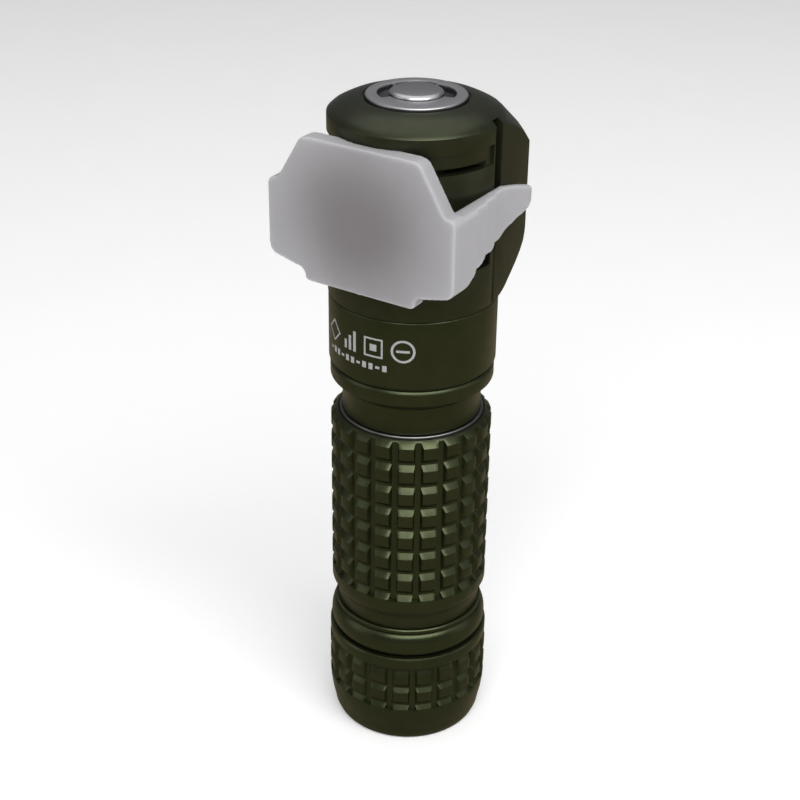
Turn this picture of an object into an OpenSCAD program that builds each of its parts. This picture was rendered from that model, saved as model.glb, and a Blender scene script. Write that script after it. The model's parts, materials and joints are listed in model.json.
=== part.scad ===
// Right-angle flashlight that stands on its tail, with a clip-on diffuser over its side lens.
// Millimetres, +Z up along the battery tube. The origin is the centre of the tail face,
// the lens looks along -Y and the heat-sink block is at the back, towards +Y.

/* [Battery] */
// Diameter of the wrapped cell
cell_d = 18.5; // [18.3:0.1:18.7]
// Length of the cell without its raised positive button
cell_len = 65; // [64.5:0.1:65.5]

/* [Tail cap] */
// Diameter of the tail cap over its knurls
cap_d = 28.34; // [28.2:0.02:28.6]
// Number of knurl columns round the tail cap
cap_columns = 21; // [18:1:24]
// Height of the tail cap
cap_h = 18.6; // [18.4:0.1:18.7]

/* [Battery tube] */
// Diameter of the battery tube over its knurls
tube_d = 27.36; // [27.2:0.02:27.6]
// Number of knurl columns round the battery tube
tube_columns = 21; // [18:1:24]
// Depth of the battery tube's knurls
knurl_depth = 0.8; // [0.6:0.05:0.9]

/* [Head] */
// Diameter of the head
head_d = 28; // [27.9:0.02:28.1]
// Diameter of the neck under the head, where a pocket clip grips
neck_d = 23.44; // [23.3:0.02:23.6]
// Radius of the heat-sink block behind the head
block_r = 18.1; // [17.5:0.1:18.6]
// Depth of the fins cut into the back of the block
fin_depth = 2.2; // [1:0.1:3]

/* [Light] */
// Height of the lens centre above the tail face
lens_z = 101.5; // [101.4:0.05:101.6]
// Diameter of the glass lens
lens_d = 17; // [16.8:0.1:17.2]

/* [Diffuser] */
// Thickness of the diffuser's plate
plate_t = 3; // [2.6:0.1:3.2]
// Half the width of the diffuser at its arms
arm_half_w = 17; // [16.9:0.1:17.4]

/* [Hidden] */

// Facets of turned surfaces and of small round parts
turned_fn = 128;
small_fn = 64;
// Amount that a cutter runs past the surface it cuts
over = 1;

// Clearance round the threads and the cell, and the running fits
thread_gap = 0.2;
fit_gap = 0.08;

// Heights along the axis, from the tail up
cell_z = 12.05;
cell_top_z = cell_z + cell_len;
tube_end_z = 8;
ring_z = cap_h + 0.35;
ring_top_z = 23.1;
band_z = 28.6;
tube_top_z = 62.2;
washer_z = 61.95;
washer_h = 0.65;
collar_z = 67.5;
sleeve_z = 72.3;
housing_z = 84.1;
edge_z = 114.04;
bezel_top_z = 116.92;
button_top_z = 117.55;

// Radii of the core that everything round the cell shares
bore_r = cell_d / 2 + 0.35;
cell_r = cell_d / 2 - 0.2;

// Knurl rows: the pitch, the flat top and the sloped flanks. Under the last full row the surface
// runs on as a plain band.
tube_row_pitch = 4.34;
tube_row_flat = 2.1;
tube_row_flank = 0.9;
tube_rows = 7;
tube_row_top_z = 61.15;
cap_row_pitch = 3.82;
cap_row_flat = 2.0;
cap_row_flank = 0.7;
cap_rows = 2;
cap_row_top_z = 15.1;
cap_knurl_depth = 0.6;
// Width of a groove between knurl columns, at its floor and at the surface
column_floor_w = 0.95;
column_top_w = 1.65;
tube_column_phase = -0.8;
cap_column_phase = -2.2;

// Threads are drawn as rings, one groove for each turn
thread_pitch = 1.0;
thread_depth = 0.35;
tail_thread_r = 11.3;
neck_thread_r = 10.9;
core_thread_r = 11.6;

// Head
head_r = head_d / 2;
neck_r = neck_d / 2;
collar_r = 13.72;
core_r = 12.2;
upper_step_r = head_r - 0.4;
lower_step_r = head_r - 1.6;
window_half = 9.9;
slot_low = 6.76;
slot_high = 7.7;
window_back_y = 0.14;
front_flat_y = -12.9;
barrel_r = 10;
side_slot_y = 0.6;
side_slot_w = 2.04;
side_slot_depth = 3.4;
side_slot_z = 96;
side_slot_top_z = edge_z + 0.7;
fin_count = 5;
fin_pitch = 3.4;
fin_w = 1.3;
fin_half_w = 10.4;
// Profile of the dome from its inner rim outwards, then of the block's top behind it
dome_rim_r = 8.45;
dome_points = [
    [dome_rim_r, 116.45], [9.4, 116.28], [10.4, 116.02], [11.3, 115.7], [12.1, 115.32],
    [12.8, 114.96], [13.4, 114.62], [head_r, edge_z + 0.02]
];
block_top = [[16.4, 111.45], [17.2, 110.3], [block_r, 108.75]];
// Profile of the block's underside, from the head's surface outwards
block_under = [
    [head_r, housing_z + 0.2], [14.5, 84.9], [14.95, 85.7], [15.55, 87.1], [16.38, 88.7],
    [17.22, 90.4], [17.8, 91.9], [18.02, 93.2], [block_r, 94.4]
];

// Light
optic_r = 7.8;
board_y = -1;
board_back_y = 0.5;
reflector_y = -1.9;
mouth_y = -9.5;
lens_r = lens_d / 2;
lens_t = 1.5;
lens_front_y = mouth_y - lens_t;
seal_d = 0.8;
base_hole_r = 2.85;
bowl_mouth_r = 7.0;

// Driver
driver_r = 10.3;
driver_z = 82;
driver_t = 1.4;
driver_top_z = driver_z + driver_t;
driver_ring_h = 2;
driver_ring_r = 8.7;

// Wires, and the bores that they run in
wire_r = 0.45;
wire_bore_r = 0.8;
wire_led_x = 2.6;
wire_led_y = 2.4;
wire_led_top_z = lens_z - 3;
wire_switch_x = 1.3;
wire_switch_y = 5.2;
wire_room_z = 90;

// Switch
switch_floor_z = 110.2;
switch_seat_z = 113.2;
boot_t = 0.7;
switch_r = 6.8;
bezel_r = 8;
bezel_hole_r = 4.35;
button_r = 4.24;
button_face_r = 3.6;
stem_r = 1.65;

// Diffuser
plate_front_y = -16.1;
plate_relief_r = head_r + 0.2;
arm_inner_x = 14.3;
arm_top_z = 104.4;
arm_tip_y = 9.6;

// Colours
olive = "#3d3f2a";
olive_dark = "#33341f";
steel = "#9a9b9c";
silver = "#c3c5c6";
milky = "#cfcfd2";
board_green = "#1f5a35";
copper = "#b87745";
black = "#1b1b1b";
brass = "#b99b4a";

// A turned part: points are [radius, height]
module turned(points, fn = turned_fn) {
    rotate_extrude($fn = fn)
        polygon(points);
}

// A plain ring from z0 to z1
module ring(r_out, r_in, z0, z1, fn = turned_fn) {
    turned([[r_in, z0], [r_out, z0], [r_out, z1], [r_in, z1]], fn);
}

// A torus of round section
module o_ring(r_mid, section_d, z) {
    translate([0, 0, z])
        rotate_extrude($fn = small_fn)
            translate([r_mid, 0])
                circle(d = section_d, $fn = 24);
}

// Places its children with +Z turned to -Y and the origin at the lens centre
module on_lens_axis() {
    translate([0, 0, lens_z])
        rotate([90, 0, 0])
            children();
}

// Points of one flank of a ringed thread, from z0 up, n turns, crest radius r, cut by depth d
function thread_points(r, d, z0, n) = [
    for (i = [0 : n - 1])
        each [
            [r, z0 + i * thread_pitch],
            [r, z0 + (i + 0.35) * thread_pitch],
            [r - d, z0 + (i + 0.6) * thread_pitch],
            [r, z0 + (i + 0.85) * thread_pitch]
        ]
];

function reversed(list) = [for (i = [len(list) - 1 : -1 : 0]) list[i]];

// Profile points of knurl rows from the top row down: r is the crest, d the depth
function row_points(r, d, top_z, pitch, flat, flank, n) = [
    for (i = [0 : n - 1])
        each [
            [r, top_z - i * pitch],
            [r, top_z - i * pitch - flat],
            [r - d, top_z - i * pitch - flat - flank],
            [r - d, top_z - (i + 1) * pitch + flank]
        ]
];

// Grooves that part the knurl columns, from z0 to z1
module column_grooves(count, phase, r, d, z0, z1) {
    slope = (column_top_w - column_floor_w) / 2 / d;
    half_floor = column_floor_w / 2;
    half_out = half_floor + slope * (d + over);
    for (i = [0 : count - 1])
        rotate([0, 0, phase + i * 360 / count])
            translate([0, 0, z0])
                linear_extrude(height = z1 - z0)
                    polygon([
                        [r - d - 0.05, -half_floor],
                        [r + over, -half_out],
                        [r + over, half_out],
                        [r - d - 0.05, half_floor]
                    ]);
}

// Coil spring of wire radius w: centre radius r_low at z0, r_high at z1, its end turns closer
module coil(r_low, r_high, w, z0, z1, turns) {
    steps = 18;
    sides = 8;
    rings = round(turns * steps);
    h = z1 - z0 - 2 * w;
    points = [
        for (i = [0 : rings])
            let (u = i / rings)
            let (a = 360 * turns * u)
            let (r = r_low + (r_high - r_low) * u)
            let (rise = z0 + w + h * (u - sin(360 * u) / 360 * 40))
            for (j = [0 : sides - 1])
                let (b = 360 * j / sides)
                [(r + w * cos(b)) * cos(a), (r + w * cos(b)) * sin(a), rise + w * sin(b)]
    ];
    walls = [
        for (i = [0 : rings - 1], j = [0 : sides - 1])
            let (k = (j + 1) % sides)
            [i * sides + j, i * sides + k, (i + 1) * sides + k, (i + 1) * sides + j]
    ];
    start_cap = [for (j = [sides - 1 : -1 : 0]) j];
    end_cap = [for (j = [0 : sides - 1]) rings * sides + j];
    polyhedron(points, concat([start_cap], walls, [end_cap]), convexity = 10);
}

// ---- Battery tube ----

module battery_tube() {
    r = tube_d / 2;
    rows_end_z = tube_row_top_z - tube_rows * tube_row_pitch;
    color(olive)
        difference() {
            turned(concat(
                [[bore_r, tube_end_z], [tail_thread_r - 0.4, tube_end_z]],
                thread_points(tail_thread_r, thread_depth, tube_end_z + 0.4, 6),
                [
                    [tail_thread_r, 15.2], [10.6, 15.2], [10.6, 16.8], [tail_thread_r, 16.8],
                    [tail_thread_r, ring_z - 0.2], [12, ring_z - 0.2], [12, ring_top_z + 0.2],
                    [12.7, ring_top_z + 0.2], [13, ring_top_z + 0.3], [13, ring_top_z + 0.85],
                    [12.85, ring_top_z + 1], [12.35, ring_top_z + 1], [12.35, ring_top_z + 1.2],
                    [12.6, ring_top_z + 1.25], [12.6, band_z - 2.4], [12.9, band_z - 1.6],
                    [13.4, band_z - 0.6], [r, band_z], [r, rows_end_z]
                ],
                reversed(row_points(r, knurl_depth, tube_row_top_z, tube_row_pitch,
                    tube_row_flat, tube_row_flank, tube_rows)),
                [
                    [12.55, tube_top_z], [12.45, tube_top_z], [12.45, washer_z - 0.05],
                    [neck_thread_r + thread_gap, washer_z - 0.05],
                    [neck_thread_r + thread_gap, 55], [bore_r, 55]
                ]
            ));
            column_grooves(tube_columns, tube_column_phase, r, knurl_depth,
                rows_end_z - 0.2, tube_top_z + over);
        }
}

module stop_ring() {
    color(olive)
        turned([
            [12.05, ring_z], [13.1, ring_z], [13.45, ring_z + 0.2], [13.68, ring_z + 0.55],
            [13.8, ring_z + 1.15], [13.82, ring_z + 1.65], [13.78, ring_z + 2.25],
            [13.65, ring_z + 2.85], [13.42, ring_top_z - 0.7], [13.1, ring_top_z - 0.25],
            [12.75, ring_top_z], [12.05, ring_top_z]
        ]);
}

module tail_o_ring() {
    color(black)
        o_ring(11.18, 1.1, 16);
}

module battery_cell() {
    color(steel)
        difference() {
            union() {
                ring(cell_r, 0, cell_z, cell_top_z - 0.6);
                ring(cell_r - 0.6, 0, cell_z, cell_top_z - 0.3);
            }
            ring(5.2, 0, cell_top_z - 0.9, cell_top_z + over);
            translate([0, 0, cell_top_z - 4.4])
                ring(cell_r + over, cell_r - 0.5, 0, 0.8);
        }
}

module battery_wrap() {
    color("#7b2431")
        turned([
            [cell_r - 1.4, cell_z - 0.05], [cell_r + 0.2, cell_z - 0.05],
            [cell_r + 0.2, cell_top_z - 0.35], [cell_r - 1.6, cell_top_z - 0.05],
            [cell_r - 1.6, cell_top_z - 0.25], [cell_r - 0.55, cell_top_z - 0.28],
            [cell_r - 0.55, cell_top_z - 0.55], [cell_r + 0.05, cell_top_z - 0.55],
            [cell_r + 0.05, cell_z - 0.02], [cell_r - 1.4, cell_z - 0.02]
        ]);
}

module battery_insulator() {
    color("white")
        ring(cell_r - 1.7, 4.4, cell_top_z - 0.28, cell_top_z, small_fn);
}

module battery_positive() {
    color(silver)
        turned([
            [0, cell_top_z - 0.85], [5.1, cell_top_z - 0.85], [5.1, cell_top_z - 0.35],
            [4.1, cell_top_z - 0.35], [3.6, cell_top_z + 1.0], [3.3, cell_top_z + 1.15],
            [0, cell_top_z + 1.15]
        ], small_fn);
}

// ---- Tail cap ----

module tail_cap() {
    r = cap_d / 2;
    floor_r = r - cap_knurl_depth;
    rows_end_z = cap_row_top_z - cap_rows * cap_row_pitch;
    thread_r = tail_thread_r + thread_gap;
    color(olive_dark)
        difference() {
            turned(concat(
                [[9.2, 0], [12.5, 0], [12.87, 0.3], [13.3, 1.3], [13.45, 2.2]],
                [[13.68, 3.3], [13.86, 4.2], [r - 0.07, 6], [r, rows_end_z]],
                reversed(row_points(r, cap_knurl_depth, cap_row_top_z, cap_row_pitch,
                    cap_row_flat, cap_row_flank, cap_rows)),
                [[floor_r, 16.2], [14.1, 16.5], [14.12, cap_h - 0.4], [13.9, cap_h], [12.2, cap_h]],
                [[thread_r + 0.5, 17.6], [thread_r + 0.5, 14.9]],
                reversed(thread_points(thread_r + thread_depth, thread_depth,
                    tube_end_z + 0.9, 6)),
                [[thread_r, tube_end_z - 0.5], [10.6, tube_end_z - 0.5], [10.6, 5]],
                [[7.5, 5], [7.5, 3.4], [9.2, 3.4]]
            ));
            column_grooves(cap_columns, cap_column_phase, r, cap_knurl_depth,
                rows_end_z - 0.26, 16.1);
        }
}

module tail_board() {
    color(board_green)
        ring(10.5, 0.9, 5.05, 6.05, small_fn);
}

module tail_retainer() {
    color(brass)
        difference() {
            ring(10.5, 8, 6.1, 7.3, small_fn);
            for (a = [0, 180])
                rotate([0, 0, a])
                    translate([8.6, 0, 6.1 - over])
                        cylinder(d = 1.4, h = 2 + over, $fn = 24);
        }
}

module tail_spring() {
    color(brass)
        coil(6.4, 4.0, 0.5, 6.1, cell_z - 0.1, 4);
}

module tail_magnet() {
    color(steel)
        ring(8.9, 0, 0.75, 3.3, small_fn);
}

module magnet_cover() {
    color(black)
        turned([[0, 0.15], [8.9, 0.15], [9.1, 0.35], [9.1, 0.65], [0, 0.65]], small_fn);
}

// ---- Head, round the cell ----

module head_collar() {
    color(olive)
        turned(concat(
            [[bore_r, 55.5], [neck_thread_r - 0.4, 55.5]],
            thread_points(neck_thread_r, thread_depth, 55.9, 4),
            [
                [neck_thread_r, 60.3], [10.35, 60.3], [10.35, 61.7], [neck_thread_r, 61.7],
                [neck_thread_r, washer_z + 0.1], [neck_r, washer_z + washer_h + 0.15],
                [neck_r, collar_z], [neck_r + 0.3, collar_z + 0.15], [13.1, 68.5],
                [collar_r - 0.05, 69.1], [collar_r, 69.25], [collar_r, sleeve_z - 1.1],
                [collar_r - 0.3, sleeve_z - 0.65],
                [13.2, sleeve_z - 0.6], [13.2, sleeve_z], [core_r, sleeve_z],
                [core_r, housing_z - 0.3]
            ],
            [[core_thread_r - 0.3, housing_z - 0.3]],
            thread_points(core_thread_r - 0.3, thread_depth, housing_z, 4),
            [[core_thread_r - 0.3, 88.6], [driver_r + 0.1, 88.6], [driver_r + 0.1, driver_z]],
            [[bore_r, driver_z]]
        ));
}

module neck_o_ring() {
    color(black)
        o_ring(10.7, 0.66, 61);
}

module neck_washer() {
    color(silver)
        turned([
            [neck_r + 0.06, washer_z], [12.2, washer_z], [12.2, washer_z + washer_h - 0.1],
            [12.1, washer_z + washer_h], [neck_r + 0.06, washer_z + washer_h]
        ]);
}

module head_sleeve() {
    color(olive)
        turned([
            [core_r + fit_gap, sleeve_z + 0.05], [head_r - 0.18, sleeve_z + 0.05],
            [head_r - 0.06, sleeve_z + 0.12],
            [head_r - 0.06, housing_z - 0.2], [head_r - 0.18, housing_z - 0.05],
            [core_r + fit_gap, housing_z - 0.05]
        ]);
}

// Round the head's outside: the dome, and the full radius under it
module head_round() {
    turned(concat(
        [[0, housing_z], [head_r - 0.18, housing_z], [head_r, housing_z + 0.15], [head_r, edge_z]],
        reversed(dome_points),
        [[dome_rim_r, 116.2], [0, 116.2]]
    ));
}

// The wider heat-sink block, cut flat at its sides and kept behind the side slots
module heat_block() {
    intersection() {
        turned(concat(
            [[0, housing_z + 0.2]],
            block_under,
            reversed(block_top),
            [[head_r, edge_z], [0, edge_z]]
        ));
        translate([-head_r, side_slot_y + side_slot_w / 2, 0])
            cube([head_d, block_r + over, button_top_z]);
    }
}

// Cutter that steps the head's surface in to a radius, in front of the window's back edge
module window_band(step_r, z_low, z_high) {
    intersection() {
        ring(head_r + over, step_r, lens_z + z_low, lens_z + z_high);
        translate([-2 * head_r, window_back_y - 4 * head_r, 0])
            cube([4 * head_r, 4 * head_r, 2 * edge_z]);
    }
}

// Deep slot milled into one side, above the lens centre
module deep_slot() {
    translate([0, 0, lens_z + slot_low])
        linear_extrude(height = slot_high - slot_low)
            difference() {
                union() {
                    translate([14.5, -6.2])
                        circle(r = 5, $fn = small_fn);
                    translate([9.5, -20])
                        square([10, 13.8]);
                }
                circle(r = 9.5, $fn = small_fn);
            }
}

module vertical_slot() {
    translate([head_r - side_slot_depth, side_slot_y, side_slot_z])
        cube([side_slot_depth + over, side_slot_w, side_slot_top_z - side_slot_z]);
}

module rear_fins() {
    for (i = [0 : fin_count - 1])
        translate([-fin_half_w, block_r - fin_depth, lens_z - 5.9 + i * fin_pitch])
            cube([2 * fin_half_w, fin_depth + over, fin_w]);
}

// Front of the head: flat face and the bores for the light
module light_bores() {
    translate([-head_r, front_flat_y - 4, lens_z - window_half])
        cube([head_d, 4, 2 * window_half]);
    on_lens_axis() {
        translate([0, 0, -board_back_y])
            cylinder(r = optic_r, h = 20, $fn = turned_fn);
        translate([0, 0, -mouth_y])
            cylinder(r = lens_r + 0.15, h = 10, $fn = turned_fn);
    }
}

// Bores for the switch, the driver and the wires
module housing_bores() {
    ring(switch_r, 0, switch_floor_z, edge_z + 5);
    ring(bezel_r + 0.12, 0, switch_seat_z, edge_z + 5);
    ring(core_thread_r, 0, housing_z - over, 89.2);
    ring(9.4, 0, 89, 91.2);
    for (side = [-1, 1]) {
        translate([side * wire_led_x, wire_led_y, wire_room_z])
            cylinder(r = wire_bore_r, h = wire_led_top_z - wire_room_z, $fn = 24);
        translate([side * wire_led_x, wire_led_y, wire_led_top_z])
            sphere(r = wire_bore_r, $fn = 24);
        translate([side * wire_led_x, wire_led_y, wire_led_top_z])
            rotate([90, 0, 0])
                cylinder(r = wire_bore_r, h = wire_led_y, $fn = 24);
        translate([side * wire_switch_x, wire_switch_y, wire_room_z])
            cylinder(r = wire_bore_r, h = switch_floor_z - wire_room_z + 0.1, $fn = 24);
    }
}

module head_housing() {
    color(olive)
        difference() {
            union() {
                difference() {
                    head_round();
                    window_band(lower_step_r, -window_half, -slot_low);
                    window_band(upper_step_r, slot_low, window_half);
                    for (side = [0, 1], low = [0, 1])
                        mirror([side, 0, 0])
                            translate([0, 0, low * 2 * lens_z])
                                mirror([0, 0, low])
                                    deep_slot();
                }
                heat_block();
                on_lens_axis()
                    translate([0, 0, 6])
                        cylinder(r = barrel_r + 0.1, h = -front_flat_y - 6, $fn = turned_fn);
            }
            light_bores();
            housing_bores();
            rear_fins();
            for (side = [0, 1])
                mirror([side, 0, 0])
                    vertical_slot();
        }
}

// ---- Driver ----

module driver_board() {
    color(board_green)
        ring(driver_r, 0, driver_z + 0.02, driver_top_z, small_fn);
}

// The inductor, the controller, two transistors and a few small chips
module driver_parts() {
    color(black) {
        translate([-5.6, -4.2, driver_top_z])
            cube([4.6, 4.6, 3]);
        translate([0.8, -5.2, driver_top_z])
            cube([4, 4, 1.1]);
        for (x = [-5.5, -1.8])
            translate([x, 2, driver_top_z])
                cube([2.2, 1.6, 1]);
        for (i = [0 : 3])
            translate([2 + i * 1.3, 0.2, driver_top_z])
                cube([0.6, 1, 0.5]);
        translate([5.6, 3.6, driver_top_z])
            cylinder(r = 1.2, h = 2.6, $fn = 24);
    }
}

module driver_retainer() {
    color(brass)
        difference() {
            ring(driver_r + 0.05, driver_ring_r, driver_top_z + 0.02,
                driver_top_z + driver_ring_h, small_fn);
            for (a = [0, 180])
                rotate([0, 0, a])
                    translate([driver_ring_r - over, -0.8, driver_top_z + 1])
                        cube([4, 1.6, 2]);
        }
}

module head_spring() {
    color(brass)
        coil(2.3, 4.4, 0.35, cell_top_z + 1.2, driver_z - 0.02, 3);
}

// ---- Light engine ----

module led_board() {
    color(copper)
        on_lens_axis()
            translate([0, 0, -board_back_y + 0.02])
                cylinder(r = optic_r - 0.08, h = board_back_y - board_y - 0.02, $fn = small_fn);
}

module led_emitter() {
    color("#e8d24a")
        on_lens_axis() {
            translate([-1.75, -1.75, -board_y])
                cube([3.5, 3.5, 0.5]);
            translate([0, 0, -board_y + 0.5])
                cylinder(r1 = 1.4, r2 = 1.2, h = 0.3, $fn = small_fn);
        }
}

module led_centring_ring() {
    color("white")
        on_lens_axis()
            difference() {
                union() {
                    cylinder(r = 4.4, h = -reflector_y - 0.02, $fn = small_fn);
                    cylinder(r = 2.75, h = -reflector_y + 0.4, $fn = small_fn);
                }
                translate([0, 0, -over])
                    cylinder(r = 5, h = over - board_y + 0.02, $fn = small_fn);
                translate([-1.85, -1.85, 0])
                    cube([3.7, 3.7, 5]);
            }
}

// Height of the reflector's bowl above its base, at a radius
function bowl_h(r) = (-mouth_y + reflector_y) * (pow(r, 2) - pow(base_hole_r, 2))
    / (pow(bowl_mouth_r, 2) - pow(base_hole_r, 2));

module reflector() {
    depth = -mouth_y + reflector_y - 0.05;
    bowl_steps = 10;
    color(silver)
        on_lens_axis()
            translate([0, 0, -reflector_y])
                turned(concat(
                    [[base_hole_r, 0], [4.6, 0], [6.2, 2.4], [6.2, depth - 2.6]],
                    [[optic_r - 0.1, depth - 2.2], [optic_r - 0.1, depth], [bowl_mouth_r, depth]],
                    [for (i = [bowl_steps - 1 : -1 : 1])
                        let (r = base_hole_r + (bowl_mouth_r - base_hole_r) * i / bowl_steps)
                        [r, min(bowl_h(r), depth - 0.1)]]
                ));
}

module lens() {
    color("#cfe3ea", 0.5)
        on_lens_axis()
            translate([0, 0, -mouth_y])
                turned([
                    [0, 0], [lens_r - 0.2, 0], [lens_r, 0.2], [lens_r, lens_t - 0.2],
                    [lens_r - 0.2, lens_t], [0, lens_t]
                ]);
}

module lens_o_ring() {
    color(black)
        on_lens_axis()
            o_ring(lens_r - 0.6, seal_d, -lens_front_y + seal_d / 2 + 0.01);
}

module lens_bezel() {
    flat_h = -front_flat_y + 0.02;
    color(olive)
        on_lens_axis()
            difference() {
                turned([
                    [7.25, -lens_front_y + seal_d + 0.03], [lens_r + 0.05, -lens_front_y + seal_d + 0.03],
                    [lens_r + 0.05, flat_h], [barrel_r - 0.1, flat_h], [barrel_r - 0.1, flat_h + 0.5],
                    [barrel_r - 0.5, flat_h + 0.95], [8.6, flat_h + 0.95], [7.25, flat_h + 0.3]
                ]);
                for (a = [0 : 60 : 300])
                    rotate([0, 0, a])
                        translate([8.3, -0.7, flat_h + 0.5])
                            cube([3, 1.4, 1]);
            }
}

module led_wires() {
    end_z = wire_led_top_z;
    color("#a03028")
        for (side = [-1, 1])
            translate([side * wire_led_x, wire_led_y, 0]) {
                translate([0, 0, driver_top_z + 0.02])
                    cylinder(r = wire_r, h = end_z - driver_top_z - 0.02, $fn = 16);
                translate([0, 0, end_z])
                    sphere(r = wire_r, $fn = 16);
                translate([0, 0, end_z])
                    rotate([90, 0, 0])
                        cylinder(r = wire_r, h = wire_led_y - board_back_y - 0.02, $fn = 16);
            }
}

// ---- Switch ----

module switch_board() {
    color(board_green)
        ring(6.6, 0, switch_floor_z + 0.02, switch_floor_z + 0.8, small_fn);
}

module tact_switch() {
    body_w = 6;
    color(black)
        difference() {
            translate([-body_w / 2, -body_w / 2, switch_floor_z + 0.82])
                cube([body_w, body_w, 2.1]);
            ring(stem_r + fit_gap, 0, switch_floor_z + 1.6, switch_seat_z + over, small_fn);
        }
}

module switch_wires() {
    color("#d9d9d9")
        for (side = [-1, 1])
            translate([side * wire_switch_x, wire_switch_y, driver_top_z + 0.02])
                cylinder(r = wire_r, h = switch_floor_z - driver_top_z - 0.04, $fn = 16);
}

module button_stem() {
    color("#7a2a2a")
        ring(stem_r, 0, switch_floor_z + 2.3, switch_seat_z - 0.02, small_fn);
}

module switch_boot() {
    color(black)
        ring(bezel_r, 0, switch_seat_z, switch_seat_z + boot_t);
}

// Flat ring with three waves, which lifts the button's flange
module wave_washer() {
    steps = 72;
    low_z = switch_seat_z + boot_t + 0.03;
    swing = 0.3;
    thick = 0.18;
    section = [[4.7, 0], [5.5, 0], [5.5, thick], [4.7, thick]];
    points = [
        for (i = [0 : steps - 1])
            let (a = 360 * i / steps)
            let (z = low_z + swing * (1 + cos(3 * a)))
            for (p = section)
                [p[0] * cos(a), p[0] * sin(a), z + p[1]]
    ];
    walls = [
        for (i = [0 : steps - 1], j = [0 : 3])
            let (k = (j + 1) % 4)
            let (n = (i + 1) % steps)
            [i * 4 + j, i * 4 + k, n * 4 + k, n * 4 + j]
    ];
    color(steel)
        polyhedron(points, walls, convexity = 6);
}

module button() {
    flange_z = switch_seat_z + boot_t + 0.84;
    color(silver)
        turned([
            [0, switch_seat_z + boot_t + 0.02], [1.6, switch_seat_z + boot_t + 0.02],
            [1.6, flange_z], [5.6, flange_z], [5.6, flange_z + 0.5], [button_r, flange_z + 0.5],
            [button_r, button_top_z - 0.45], [button_r - 0.12, button_top_z - 0.27],
            [button_face_r + 0.15, button_top_z - 0.08], [button_face_r - 0.15, button_top_z],
            [0, button_top_z]
        ]);
}

// One crescent pocket beside the button: deep at its start, rising to the surface
module swirl_pocket(angle) {
    sweep = 66;
    pocket_depth = 1.3;
    rotate([0, 0, angle])
        intersection() {
            translate([0.75, 0.3, bezel_top_z - 3])
                cylinder(r = 5.45, h = 5, $fn = turned_fn);
            translate([0, 0, bezel_top_z - pocket_depth])
                rotate([0, -4, 0])
                    linear_extrude(height = 4)
                        polygon([
                            [0, -0.4], [8, -1.1], [8 * cos(sweep / 2), 8 * sin(sweep / 2)],
                            [8 * cos(sweep), 8 * sin(sweep)]
                        ]);
        }
}

module switch_bezel() {
    flange_seat_z = switch_seat_z + boot_t + 1.36;
    color(silver)
        difference() {
            turned([
                [5.75, switch_seat_z + boot_t + 0.02], [bezel_r, switch_seat_z + boot_t + 0.02],
                [bezel_r, bezel_top_z - 0.15], [bezel_r - 0.15, bezel_top_z],
                [bezel_hole_r + 0.1, bezel_top_z], [bezel_hole_r, bezel_top_z - 0.1],
                [bezel_hole_r, flange_seat_z], [5.75, flange_seat_z]
            ]);
            for (angle = [172, 96, 20])
                swirl_pocket(angle);
        }
}

// ---- Diffuser ----

// Points of an arc about a centre
function arc(cx, cy, r, a0, a1, n = 8) = [
    for (i = [0 : n])
        let (a = a0 + (a1 - a0) * i / n)
        [cx + r * cos(a), cy + r * sin(a)]
];

// Right half of the plate seen from the front, from the top middle clockwise
plate_half = concat(
    [[0, 112.5]],
    arc(9.5, 110.5, 2, 90, 31, 6),
    arc(15.93, 106, 1.2, 211, 270, 6),
    arc(arm_half_w - 1, 103.8, 1, 90, 0, 5),
    arc(arm_half_w - 1.8, 93.6, 1.8, 0, -75, 6),
    [[12, 91]],
    arc(11.6, 89.6, 1.4, 95, 185, 6),
    arc(9.3, 89.65, 0.9, -10, -85, 4),
    [[0, 88.75]]
);

// The plate's outline stood up, from its front to a depth behind it
module plate(depth) {
    translate([0, plate_front_y + depth, 0])
        rotate([90, 0, 0])
            linear_extrude(height = depth) {
                polygon(plate_half);
                mirror([1, 0])
                    polygon(plate_half);
            }
}

// One slab of an arm, seen from the side: the lower edge is [y, z] from the front to the back
module arm_slab(outer_x, lower_edge) {
    last = lower_edge[len(lower_edge) - 1];
    translate([arm_inner_x, 0, 0])
        rotate([90, 0, 90])
            linear_extrude(height = outer_x - arm_inner_x)
                polygon(concat(lower_edge, [[last[0], arm_top_z], [lower_edge[0][0], arm_top_z]]));
}

// The thin end of an arm, with its flared round tip
module arm_end() {
    intersection() {
        arm_slab(arm_half_w, [
            [-3, 95.9], [0.1, 96.2], [1.6, 97], [4.7, 98], [8.3, 98.9], [9.9, 100.3],
            [9.9, 101.3], [8.6, 102.6], [7.5, 102.9], [4.9, 103.6], [1.7, 104.3]
        ]);
        translate([0, 0, plate_half[0][1] - 30])
            linear_extrude(height = 30)
                polygon([
                    [arm_inner_x, -4], [15.7, -4], [15.65, 2], [16.25, 8.2],
                    [16.1, 9.2], [15.5, arm_tip_y], [14.95, 9.2], [arm_inner_x, 3]
                ]);
    }
}

// One arm: three steps behind the plate, then the thin end
module arm() {
    intersection() {
        plate(8);
        arm_slab(arm_half_w, [
            [plate_front_y, 92.1], [-12.4, 92.1], [-11.4, 92.4], [-10.3, 93.4],
            [-9.5, 94.2], [-9, 95.1]
        ]);
    }
    arm_slab(arm_half_w - 0.45, [[-10, 94.5], [-7.4, 94.5], [-6.6, 94.8], [-5.9, 95.3], [-5.6, 96]]);
    arm_slab(arm_half_w - 0.9, [
        [-6.5, 95.3], [-3.6, 95.3], [-2.8, 95.5], [-2.3, 95.9], [-2.15, 96.5]
    ]);
    arm_end();
}

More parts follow.
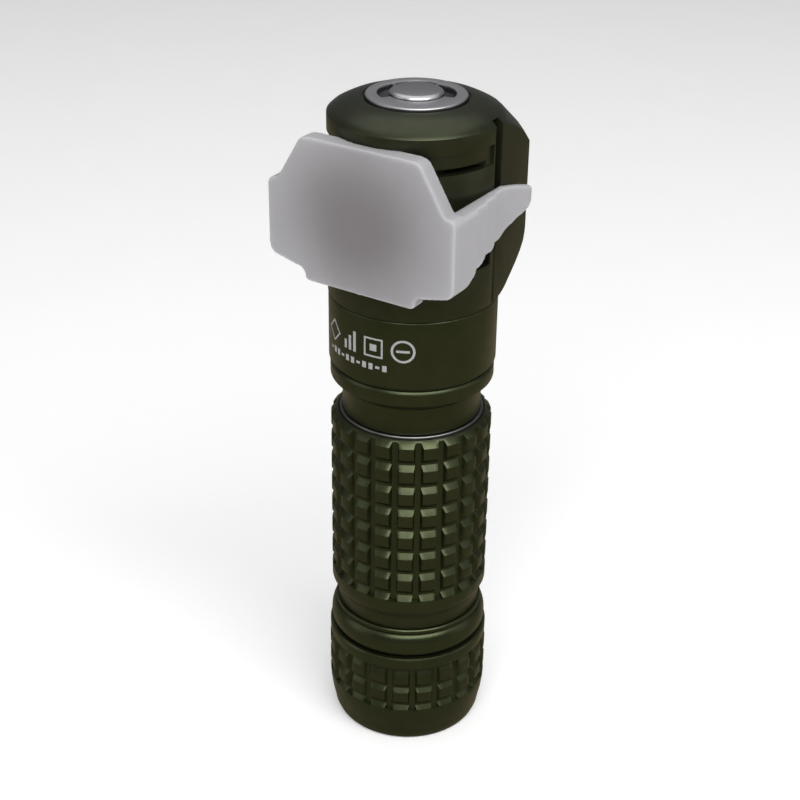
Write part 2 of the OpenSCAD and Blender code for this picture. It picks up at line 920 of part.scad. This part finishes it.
module diffuser() {
    color(milky)
        difference() {
            union() {
                plate(plate_t);
                for (side = [0, 1])
                    mirror([side, 0, 0])
                        arm();
            }
            ring(plate_relief_r, 0, 80, edge_z);
            on_lens_axis()
                cylinder(r = barrel_r + 0.2, h = -front_flat_y + 1.17, $fn = turned_fn);
        }
}

battery_tube();
stop_ring();
tail_o_ring();
battery_cell();
battery_wrap();
battery_insulator();
battery_positive();
tail_cap();
tail_board();
tail_retainer();
tail_spring();
tail_magnet();
magnet_cover();
head_collar();
neck_o_ring();
neck_washer();
head_sleeve();
head_housing();
driver_board();
driver_parts();
driver_retainer();
head_spring();
led_board();
led_emitter();
led_centring_ring();
led_wires();
reflector();
lens();
lens_o_ring();
lens_bezel();
switch_board();
tact_switch();
switch_wires();
button_stem();
switch_boot();
wave_washer();
button();
switch_bezel();
diffuser();
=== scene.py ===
"""Looks for the right-angle flashlight: procedural finishes on the CAD frame, a soft-edged milky
diffuser, generic laser marks, a pale floor and soft studio light."""

import json
import math

import bmesh
import bpy
from mathutils import Matrix, Vector


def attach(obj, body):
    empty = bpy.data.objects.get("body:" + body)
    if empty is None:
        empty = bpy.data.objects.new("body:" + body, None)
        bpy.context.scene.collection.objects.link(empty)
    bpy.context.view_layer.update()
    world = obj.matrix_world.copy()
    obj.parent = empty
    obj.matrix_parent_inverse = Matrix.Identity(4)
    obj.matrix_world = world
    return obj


MM = 0.001

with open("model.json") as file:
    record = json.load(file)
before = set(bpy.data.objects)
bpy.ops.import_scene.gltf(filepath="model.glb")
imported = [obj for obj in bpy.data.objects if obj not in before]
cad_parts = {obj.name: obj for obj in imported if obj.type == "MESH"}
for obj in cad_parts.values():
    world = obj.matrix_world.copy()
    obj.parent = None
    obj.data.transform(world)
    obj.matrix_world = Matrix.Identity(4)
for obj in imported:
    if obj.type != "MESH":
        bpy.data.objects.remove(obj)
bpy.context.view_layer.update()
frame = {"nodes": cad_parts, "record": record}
nodes = frame["nodes"]


# ---- Materials ----

NOISE_ROUGHNESS = 0.55
NOISE_LOW, NOISE_HIGH = 0.3, 0.7


class Finish:
    """A material built node by node round one Principled shader."""

    def __init__(self, name, **sockets):
        self.mat = bpy.data.materials.new(name)
        self.mat.use_nodes = True
        self.tree = self.mat.node_tree
        self.shader = self.tree.nodes["Principled BSDF"]
        for key, value in sockets.items():
            self.shader.inputs[key.replace("_", " ")].default_value = value
        self.place = self.tree.nodes.new("ShaderNodeTexCoord").outputs["Object"]

    def node(self, kind, **settings):
        made = self.tree.nodes.new(kind)
        for key, value in settings.items():
            setattr(made, key, value)
        return made

    def link(self, source, target):
        self.tree.links.new(source, target)

    def noise(self, scale, detail):
        """Noise over the object's own metres; scale is cells per metre."""
        made = self.node("ShaderNodeTexNoise")
        made.inputs["Scale"].default_value = scale
        made.inputs["Detail"].default_value = detail
        made.inputs["Roughness"].default_value = NOISE_ROUGHNESS
        self.link(self.place, made.inputs["Vector"])
        return made.outputs["Fac"]

    def ramp(self, value, low, high, low_colour, high_colour):
        """Blends two colours while the value runs from low to high."""
        made = self.node("ShaderNodeValToRGB")
        first, last = made.color_ramp.elements
        first.position, last.position = low, high
        first.color, last.color = low_colour, high_colour
        self.link(value, made.inputs["Fac"])
        return made.outputs["Color"]

    def mottle(self, value, low_colour, high_colour):
        """Blends two colours over the usual reach of noise."""
        return self.ramp(value, NOISE_LOW, NOISE_HIGH, low_colour, high_colour)

    def spread(self, value, low, high):
        """Turns noise into a number between low and high."""
        made = self.node("ShaderNodeMapRange")
        made.inputs["From Min"].default_value = NOISE_LOW
        made.inputs["From Max"].default_value = NOISE_HIGH
        made.inputs["To Min"].default_value = low
        made.inputs["To Max"].default_value = high
        self.link(value, made.inputs["Value"])
        return made.outputs["Result"]

    def bump(self, value, distance, strength):
        made = self.node("ShaderNodeBump")
        made.inputs["Distance"].default_value = distance
        made.inputs["Strength"].default_value = strength
        self.link(value, made.inputs["Height"])
        self.link(made.outputs["Normal"], self.shader.inputs["Normal"])

    def to(self, value, socket):
        self.link(value, self.shader.inputs[socket])


def opaque(colour):
    return (*colour, 1.0)


def grey(v):
    return opaque((v, v, v))


def anodised(name, low, high, rough=0.34):
    """Bead-blasted aluminium under a dyed oxide layer."""
    f = Finish(name, Metallic=0.85, Coat_Weight=0.25, Coat_Roughness=0.3, Coat_IOR=1.5)
    f.to(f.mottle(f.noise(260, 4), opaque(low), opaque(high)), "Base Color")
    f.to(f.spread(f.noise(700, 2), rough - 0.04, rough + 0.05), "Roughness")
    f.bump(f.noise(9000, 2), 0.012 * MM, 0.7)
    return f.mat


def metal(name, low, high, rough):
    """Bare or plated metal."""
    f = Finish(name, Metallic=1.0)
    f.to(f.mottle(f.noise(400, 3), opaque(low), opaque(high)), "Base Color")
    f.to(f.spread(f.noise(900, 2), rough - 0.04, rough + 0.05), "Roughness")
    f.bump(f.noise(6000, 2), 0.008 * MM, 0.6)
    return f.mat


SHADE_DEPTH = 0.35


def stainless(name, shade_top_z, rough):
    """Bead-blasted steel with painted shade: darker in its pockets and walls below a height in millimetres.
    """
    f = Finish(name, Metallic=1.0)
    split = f.node("ShaderNodeSeparateXYZ")
    f.link(f.place, split.inputs["Vector"])
    unshaded = f.node("ShaderNodeMapRange", interpolation_type="SMOOTHSTEP")
    unshaded.inputs["From Min"].default_value = (shade_top_z - SHADE_DEPTH) * MM
    unshaded.inputs["From Max"].default_value = shade_top_z * MM
    f.link(split.outputs["Z"], unshaded.inputs["Value"])
    # Painted shade: the base colour turns dark grey below the height, standing in for shade in the pockets
    # and on the walls
    f.to(f.ramp(unshaded.outputs["Result"], 0.0, 1.0, grey(0.13), opaque((0.6, 0.59, 0.61))), "Base Color")
    f.to(f.spread(f.noise(6000, 2), rough - 0.04, rough + 0.05), "Roughness")
    f.bump(f.noise(9000, 2), 0.004 * MM, 0.5)
    return f.mat


def dielectric(name, low, high, rough):
    """Plastic, rubber, board or paint."""
    f = Finish(name)
    f.to(f.mottle(f.noise(500, 3), opaque(low), opaque(high)), "Base Color")
    f.to(f.spread(f.noise(900, 2), rough - 0.05, rough + 0.05), "Roughness")
    f.bump(f.noise(3000, 2), 0.01 * MM, 0.5)
    return f.mat


LENS_PLACE_MM = (0, -16, 100)
MILKY_SHADED_MIDDLE, MILKY_EDGE = (0.29, 0.272, 0.282), (0.51, 0.503, 0.522)


def milky(name):
    """Cloudy plastic with painted shade: its base colour darkens round the middle, where the dark lens sits
    behind it.
    """
    f = Finish(
        name,
        IOR=1.48,
        Subsurface_Weight=1.0,
        Subsurface_Radius=(2.6 * MM, 2.6 * MM, 2.7 * MM),
        Subsurface_Scale=1.0,
        Transmission_Weight=0.25,
    )
    away = f.node("ShaderNodeVectorMath", operation="DISTANCE")
    away.inputs[1].default_value = [v * MM for v in LENS_PLACE_MM]
    f.link(f.place, away.inputs[0])
    wave = f.node("ShaderNodeMath", operation="MULTIPLY_ADD")
    wave.inputs[1].default_value = 3 * MM
    f.link(f.noise(120, 3), wave.inputs[0])
    f.link(away.outputs["Value"], wave.inputs[2])
    reach = f.node("ShaderNodeMapRange", interpolation_type="SMOOTHSTEP")
    reach.inputs["From Min"].default_value = 4 * MM
    reach.inputs["From Max"].default_value = 20 * MM
    f.link(wave.outputs["Value"], reach.inputs["Value"])
    # Painted shade: the tint darkens towards the middle over the dark lens; the subsurface scattering also
    # lets some real darkness through
    tint = f.ramp(reach.outputs["Result"], 0.0, 1.0, opaque(MILKY_SHADED_MIDDLE), opaque(MILKY_EDGE))
    f.to(tint, "Base Color")
    f.to(f.spread(f.noise(900, 3), 0.42, 0.5), "Roughness")
    f.bump(f.noise(4000, 2), 0.008 * MM, 0.5)
    return f.mat


def glass(name):
    f = Finish(name, IOR=1.5, Transmission_Weight=1.0)
    f.to(f.mottle(f.noise(120, 2), opaque((0.93, 0.96, 0.96)), opaque((0.97, 0.98, 0.99))), "Base Color")
    f.to(f.spread(f.noise(800, 2), 0.01, 0.03), "Roughness")
    return f.mat


OLIVE_LOW, OLIVE_HIGH = (0.035, 0.043, 0.015), (0.043, 0.052, 0.020)
# Each material slot's kind of finish and its settings
FINISHES = {
    "anodised_tube": (anodised, OLIVE_LOW, OLIVE_HIGH),
    "anodised_ring": (anodised, OLIVE_LOW, OLIVE_HIGH, 0.32),
    "anodised_cap": (anodised, OLIVE_LOW, OLIVE_HIGH, 0.36),
    "anodised_collar": (anodised, OLIVE_LOW, OLIVE_HIGH),
    "anodised_sleeve": (anodised, OLIVE_LOW, OLIVE_HIGH),
    "anodised_head": (anodised, (0.036, 0.042, 0.020), (0.044, 0.050, 0.025), 0.38),
    "anodised_bezel": (anodised, OLIVE_LOW, OLIVE_HIGH),
    "nitrile": (dielectric, (0.012,) * 3, (0.02,) * 3, 0.6),
    "cell_can": (metal, (0.55,) * 3, (0.62,) * 3, 0.3),
    "cell_wrap": (dielectric, (0.22, 0.02, 0.03), (0.28, 0.03, 0.045), 0.2),
    "white_insulator": (dielectric, (0.75, 0.75, 0.72), (0.82, 0.82, 0.8), 0.6),
    "nickel": (metal, (0.62, 0.61, 0.58), (0.7, 0.69, 0.66), 0.25),
    "board_green": (dielectric, (0.01, 0.10, 0.035), (0.015, 0.14, 0.05), 0.3),
    "brass_ring": (metal, (0.62, 0.44, 0.16), (0.7, 0.5, 0.2), 0.3),
    "gold_spring": (metal, (0.8, 0.56, 0.2), (0.86, 0.62, 0.26), 0.18),
    "magnet_nickel": (metal, (0.68,) * 3, (0.74,) * 3, 0.12),
    "black_cover": (dielectric, (0.012,) * 3, (0.022,) * 3, 0.5),
    "bright_washer": (metal, (0.2,) * 3, (0.25,) * 3, 0.42),
    "chip_black": (dielectric, (0.012,) * 3, (0.02,) * 3, 0.55),
    "copper_board": (metal, (0.72, 0.36, 0.2), (0.78, 0.42, 0.25), 0.3),
    "phosphor": (dielectric, (0.8, 0.55, 0.05), (0.86, 0.62, 0.08), 0.3),
    "wire_red": (dielectric, (0.4, 0.02, 0.02), (0.48, 0.03, 0.03), 0.35),
    "wire_white": (dielectric, (0.7, 0.7, 0.68), (0.78, 0.78, 0.76), 0.35),
    "mirror_bowl": (metal, (0.85,) * 3, (0.88,) * 3, 0.06),
    "lens_glass": (glass,),
    "stem_red": (dielectric, (0.2, 0.02, 0.02), (0.26, 0.03, 0.03), 0.5),
    "silicone": (dielectric, (0.015,) * 3, (0.03,) * 3, 0.55),
    "spring_steel": (metal, (0.5,) * 3, (0.58,) * 3, 0.25),
    "stainless_button": (stainless, 117.2, 0.34),
    "stainless_bezel": (stainless, 116.88, 0.4),
    "milky_plastic": (milky,),
}
MATERIALS = {name: make(name, *settings) for name, (make, *settings) in FINISHES.items()}


def paint(obj, name):
    obj.data.materials.clear()
    obj.data.materials.append(MATERIALS[name])


WELD_MM = 0.002
ROUNDED_ANGLE, CREASE_ANGLE = math.radians(28), math.radians(32)


def soften(obj, width):
    """Rounds the edges of a CAD node for the eye: the frame's own mesh stays as it is."""
    weld = obj.modifiers.new("weld", "WELD")
    weld.merge_threshold = WELD_MM * MM
    if width:
        bevel = obj.modifiers.new("edges", "BEVEL")
        bevel.width = width * MM
        bevel.segments = 2
        bevel.limit_method = "ANGLE"
        bevel.angle_limit = ROUNDED_ANGLE
        bevel.use_clamp_overlap = True
    split = obj.modifiers.new("creases", "EDGE_SPLIT")
    split.split_angle = CREASE_ANGLE
    for face in obj.data.polygons:
        face.use_smooth = True


VOXEL_MM = 0.25
MELT_ROUNDS = 4


def mould(obj):
    """Melts the edges of a moulded plastic part into small fillets."""
    melt = obj.modifiers.new("melt", "REMESH")
    melt.mode = "VOXEL"
    melt.voxel_size = VOXEL_MM * MM
    melt.use_smooth_shade = True
    ease = obj.modifiers.new("ease", "SMOOTH")
    ease.factor = 0.5
    ease.iterations = MELT_ROUNDS


# Widths in millimetres of the rounded edges; nodes that aren't named keep sharp ones
EDGE_WIDTHS = {
    "battery_tube": 0.1,
    "tail_cap": 0.2,
    "stop_ring": 0.05,
    "head_collar": 0.08,
    "head_sleeve": 0.05,
    "head_housing": 0.08,
    "switch_bezel": 0.05,
    "button": 0.05,
    "lens_bezel": 0.08,
}

slots = {part["node"]: part["material_slot"] for part in frame["record"]["subparts"]}
for name, obj in nodes.items():
    paint(obj, slots[name])
    if name == "diffuser":
        mould(obj)
    else:
        soften(obj, EDGE_WIDTHS.get(name, 0))


# ---- Laser marks: plain shapes on the sleeve, in millimetres along and up its surface ----

MARK_R = 13.952
MARK_Z = 79.1
MARK_STEP = 0.4
DASH_COUNT, DASH_STEP, DASH_UP = 11, 1.22, -3.4


class Marks:
    """Flat shapes drawn in millimetres, then wrapped round the sleeve."""

    def __init__(self):
        self.points, self.faces = [], []

    def strip(self, lows, highs):
        """Quads between two rows of (along, up) points."""
        first = len(self.points)
        self.points += [point for pair in zip(lows, highs) for point in pair]
        for i in range(len(lows) - 1):
            k = first + 2 * i
            self.faces.append((k, k + 2, k + 3, k + 1))

    def bar(self, along, up, width, height):
        count = math.ceil(width / MARK_STEP)
        across = [along + width * (i / count - 0.5) for i in range(count + 1)]
        self.strip([(u, up - height / 2) for u in across], [(u, up + height / 2) for u in across])

    def hollow(self, along, up, sides, outer, inner, turn=0.0, cuts=6):
        """An upright regular polygon or ring with its middle left out."""
        rims = []
        for radius in (outer, inner):
            corners = [math.radians(turn) + math.tau * i / sides for i in range(sides + 1)]
            knots = [(radius * math.cos(a), radius * math.sin(a)) for a in corners]
            rims.append(
                [
                    (along + p[0] + (q[0] - p[0]) * c / cuts, up + p[1] + (q[1] - p[1]) * c / cuts)
                    for p, q in zip(knots, knots[1:])
                    for c in range(cuts)
                ]
            )
        outside, inside = ([*rim, rim[0]] for rim in rims)
        self.strip(inside, outside)

    def wrapped(self, name, middle_z):
        mesh = bpy.data.meshes.new(name)
        radius = MARK_R * MM
        around = [
            (radius * math.cos(u / MARK_R), radius * math.sin(u / MARK_R), (middle_z + v) * MM)
            for u, v in self.points
        ]
        mesh.from_pydata(around, [], self.faces)
        work = bmesh.new()
        work.from_mesh(mesh)
        bmesh.ops.remove_doubles(work, verts=work.verts, dist=0.001 * MM)
        bmesh.ops.recalc_face_normals(work, faces=work.faces)
        work.to_mesh(mesh)
        work.free()
        obj = bpy.data.objects.new(name, mesh)
        bpy.context.collection.objects.link(obj)
        return obj


def at_angle(degrees):
    """Distance round the sleeve from the +X side."""
    return math.radians(degrees) * MARK_R


marks = Marks()
diamond, bars, square, ring, first_dash = (at_angle(a) for a in (-122.5, -103.9, -84.6, -64, -126.5))
marks.hollow(diamond, 0, 4, 2.0, 1.6)
for i, height in enumerate((1.6, 2.6, 3.6)):
    marks.bar(bars + 1.05 * (i - 1), height / 2 - 1.8, 0.6, height)
marks.hollow(square, 0, 4, 2.4, 1.95, turn=45)
marks.bar(square, 0, 1.2, 1.2)
marks.hollow(ring, 0, 24, 2.0, 1.6, cuts=1)
marks.bar(ring, 0, 2.2, 0.42)
for i in range(DASH_COUNT):
    marks.bar(first_dash + DASH_STEP * i, DASH_UP, 0.75, 1.1 if i % 3 else 0.45)
sleeve_marks = marks.wrapped("sleeve_marks", MARK_Z)
laser = Finish("laser_mark")
laser.to(laser.mottle(laser.noise(4000, 3), grey(0.30), grey(0.42)), "Base Color")
laser.to(laser.spread(laser.noise(900, 2), 0.5, 0.62), "Roughness")
sleeve_marks.data.materials.append(laser.mat)
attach(sleeve_marks, "head")


# ---- Stage ----

FLOOR_SIZE, FLAG_SIZE = 30.0, 2.4


def plane(name, size, z):
    """A level square round the Z axis."""
    mesh = bpy.data.meshes.new(name)
    half = size / 2
    corners = [(-half, -half, z), (half, -half, z), (half, half, z), (-half, half, z)]
    mesh.from_pydata(corners, [], [(0, 1, 2, 3)])
    obj = bpy.data.objects.new(name, mesh)
    bpy.context.collection.objects.link(obj)
    return obj


floor = plane("floor", FLOOR_SIZE, -0.02 * MM)
paper = Finish("floor_paper")
paper.to(paper.mottle(paper.noise(3, 2), grey(0.92), grey(0.93)), "Base Color")
paper.to(paper.spread(paper.noise(40, 2), 0.6, 0.7), "Roughness")
paper.shader.inputs["Emission Color"].default_value = grey(1.0)
paper.shader.inputs["Emission Strength"].default_value = 0.2
floor.data.materials.append(paper.mat)

# Dark card on the floor that only reflections see: upright metal reflects it and looks darker
flag = plane("flag", FLAG_SIZE, -0.01 * MM)
felt = Finish("flag_felt")
felt.to(felt.mottle(felt.noise(5, 2), opaque((0.26, 0.22, 0.13)), opaque((0.30, 0.26, 0.16))), "Base Color")
felt.to(felt.spread(felt.noise(40, 2), 0.8, 0.9), "Roughness")
flag.data.materials.append(felt.mat)
for kind in ("camera", "diffuse", "transmission", "volume_scatter", "shadow"):
    setattr(flag, "visible_" + kind, False)


AIM = (0, 0, 70 * MM)


def softbox(name, place, width, height, watts):
    """A rectangular light in metres, turned to the middle of the object."""
    data = bpy.data.lights.new(name, "AREA")
    data.shape = "RECTANGLE"
    data.size, data.size_y = width, height
    data.energy = watts
    obj = bpy.data.objects.new(name, data)
    bpy.context.collection.objects.link(obj)
    obj.location = place
    aim = Vector(AIM) - Vector(place)
    obj.rotation_mode = "QUATERNION"
    obj.rotation_quaternion = aim.to_track_quat("-Z", "Y")


# Camera: where it stands in millimetres, its turn round the light, its tilt and its roll
CAM_MM = (126.956, -202.918, 193.011)
CAM_TURN = math.radians(32.5)
CAM_TILT = math.radians(28.515)
CAM_ROLL = math.radians(-0.7452)
LENS_MM, SENSOR_MM = 72.0, 36.0


def camera():
    """Puts the camera at the photo's viewing angle."""
    data = bpy.data.cameras.new("camera")
    data.lens, data.sensor_width = LENS_MM, SENSOR_MM
    data.clip_start, data.clip_end = 0.01, 50
    obj = bpy.data.objects.new("camera", data)
    bpy.context.collection.objects.link(obj)
    side = Vector((math.cos(CAM_TURN), math.sin(CAM_TURN), 0))
    ahead = Vector((-math.sin(CAM_TURN), math.cos(CAM_TURN), 0))
    look = ahead * math.cos(CAM_TILT) - Vector((0, 0, math.sin(CAM_TILT)))
    rise = side.cross(look)
    right = side * math.cos(CAM_ROLL) - rise * math.sin(CAM_ROLL)
    up = side * math.sin(CAM_ROLL) + rise * math.cos(CAM_ROLL)
    turn = Matrix((right, up, -look)).transposed()
    obj.matrix_world = Matrix.Translation(Vector(CAM_MM) * MM) @ turn.to_4x4()
    bpy.context.scene.camera = obj


camera()


def from_camera(right, forward, height):
    """A place given as metres to the camera's right, away from it past the light, and up."""
    c, s = math.cos(CAM_TURN), math.sin(CAM_TURN)
    return (right * c - forward * s, right * s + forward * c, height)


# Name, place in the camera's directions, width, height, watts
SOFTBOXES = (
    ("key", (0.12, -0.446, 0.66), 0.88, 0.36, 6.0),
    ("overhead", (0.0, 0.25, 0.85), 0.9, 0.7, 2.0),
    ("left_box", (-0.75, -0.15, 0.35), 0.45, 0.8, 0.9),
    ("right_box", (0.75, -0.1, 0.35), 0.45, 0.8, 0.6),
)
for name, place, width, height, watts in SOFTBOXES:
    softbox(name, from_camera(*place), width, height, watts)

world = bpy.data.worlds.new("studio")
bpy.context.scene.world = world
world.use_nodes = True
world.node_tree.nodes["Background"].inputs["Color"].default_value = (0.95, 0.96, 1.0, 1.0)
world.node_tree.nodes["Background"].inputs["Strength"].default_value = 0.14
bpy.context.scene.view_settings.view_transform = "Standard"
